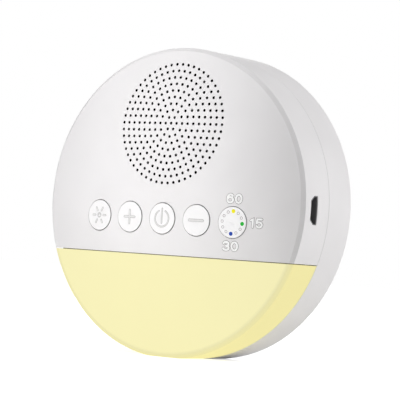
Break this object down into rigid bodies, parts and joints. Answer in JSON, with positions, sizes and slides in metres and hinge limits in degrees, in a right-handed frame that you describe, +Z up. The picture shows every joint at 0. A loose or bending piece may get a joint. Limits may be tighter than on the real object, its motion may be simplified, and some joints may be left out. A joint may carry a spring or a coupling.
{
  "type": "white noise sound machine",
  "caption": "Round tabletop sound machine with a domed face, speaker grille, push buttons, a timer button with light windows, a night lamp across its lower front and a USB port.",
  "frame": {"origin": "on the table, under the middle of the bounding box, which runs from the power button's cap at the front to the flat back", "axes": "+Z up, +X to the right seen from the front, the face looks along -Y"},
  "size_m": [0.1, 0.034, 0.0996],
  "materials": {
    "white_abs": "satin moulded ABS",
    "button_white": "satin moulded ABS",
    "lamp_yellow": "satin translucent yellow diffuser",
    "window_yellow": "clear tinted light pipe",
    "window_green": "clear tinted light pipe",
    "window_blue": "clear tinted light pipe",
    "cloth_black": "woven acoustic cloth",
    "foam_grey": "closed-cell foam",
    "surround_rubber": "matte",
    "paper_cone": "pressed paper",
    "spider_cloth": "resin-treated cloth",
    "steel": "zinc plated",
    "ferrite": "ground ferrite",
    "copper": "enamelled copper winding",
    "board_green": "solder mask over glass fibre",
    "board_white": "white solder mask",
    "phenolic": "phenolic board",
    "black_plastic": "moulded",
    "switch_metal": "tinned",
    "port_metal": "dark nickel",
    "led_phosphor": "silicone over phosphor",
    "header_nylon": "moulded nylon",
    "capacitor_sleeve": "shrink sleeve over aluminium",
    "reflector_white": "moulded white",
    "cell_foil": "laminated foil pouch",
    "tape_foam": "double-sided foam tape",
    "wire_red": "PVC insulation"
  },
  "bodies": {
    "housing": {"front_cover": "white_abs", "lamp_diffuser": "lamp_yellow", "rear_cover": "white_abs", "rear_screws": "steel", "grille_cloth": "cloth_black", "speaker_gasket": "foam_grey", "speaker_frame": "steel", "speaker_surround": "surround_rubber", "speaker_spider": "spider_cloth", "speaker_top_plate": "steel", "speaker_magnet": "ferrite", "speaker_yoke": "steel", "speaker_terminals": "phenolic", "speaker_screws": "steel", "main_board": "board_green", "board_screws": "steel", "switch_bodies": "switch_metal", "usb_socket": "port_metal", "usb_tongue": "black_plastic", "usb_lining_ring": "black_plastic", "control_chip": "black_plastic", "amplifier_chip": "black_plastic", "board_capacitors": "capacitor_sleeve", "timer_leds": "led_phosphor", "board_headers": "header_nylon", "lamp_board": "board_white", "lamp_leds": "led_phosphor", "lamp_reflector": "reflector_white", "lamp_screws": "steel", "battery_cell": "cell_foil", "battery_tape": "tape_foam", "speaker_leads": "wire_red", "battery_leads": "wire_red", "lamp_leads": "wire_red"},
    "light_button_body": {"light_button": "button_white", "light_switch_plunger": "black_plastic"},
    "volume_up_button_body": {"volume_up_button": "button_white", "volume_up_switch_plunger": "black_plastic"},
    "power_button_body": {"power_button": "button_white", "power_switch_plunger": "black_plastic"},
    "volume_down_button_body": {"volume_down_button": "button_white", "volume_down_switch_plunger": "black_plastic"},
    "timer_button_body": {"timer_button": "button_white", "timer_window_60": "window_yellow", "timer_window_15": "window_green", "timer_window_30": "window_blue", "timer_switch_plunger": "black_plastic"},
    "speaker_moving_part": {"speaker_cone": "paper_cone", "speaker_dust_cap": "paper_cone", "speaker_voice_coil": "copper"}
  },
  "joints": [
    {"name": "light_press", "type": "slide", "parent": "housing", "child": "light_button_body", "axis": [0, 1, 0], "range_m": [0, 0.0004], "stiffness_N_per_m": 2000},
    {"name": "volume_up_press", "type": "slide", "parent": "housing", "child": "volume_up_button_body", "axis": [0, 1, 0], "range_m": [0, 0.0004], "stiffness_N_per_m": 2000},
    {"name": "power_press", "type": "slide", "parent": "housing", "child": "power_button_body", "axis": [0, 1, 0], "range_m": [0, 0.0004], "stiffness_N_per_m": 2000},
    {"name": "volume_down_press", "type": "slide", "parent": "housing", "child": "volume_down_button_body", "axis": [0, 1, 0], "range_m": [0, 0.0004], "stiffness_N_per_m": 2000},
    {"name": "timer_press", "type": "slide", "parent": "housing", "child": "timer_button_body", "axis": [0, 1, 0], "range_m": [0, 0.0004], "stiffness_N_per_m": 2000},
    {"name": "cone_travel", "type": "slide", "parent": "housing", "child": "speaker_moving_part", "axis": [0, 1, 0], "range_m": [-0.0005, 0.0005], "stiffness_N_per_m": 3000, "deforming": ["speaker_surround", "speaker_spider"]}
  ]
}
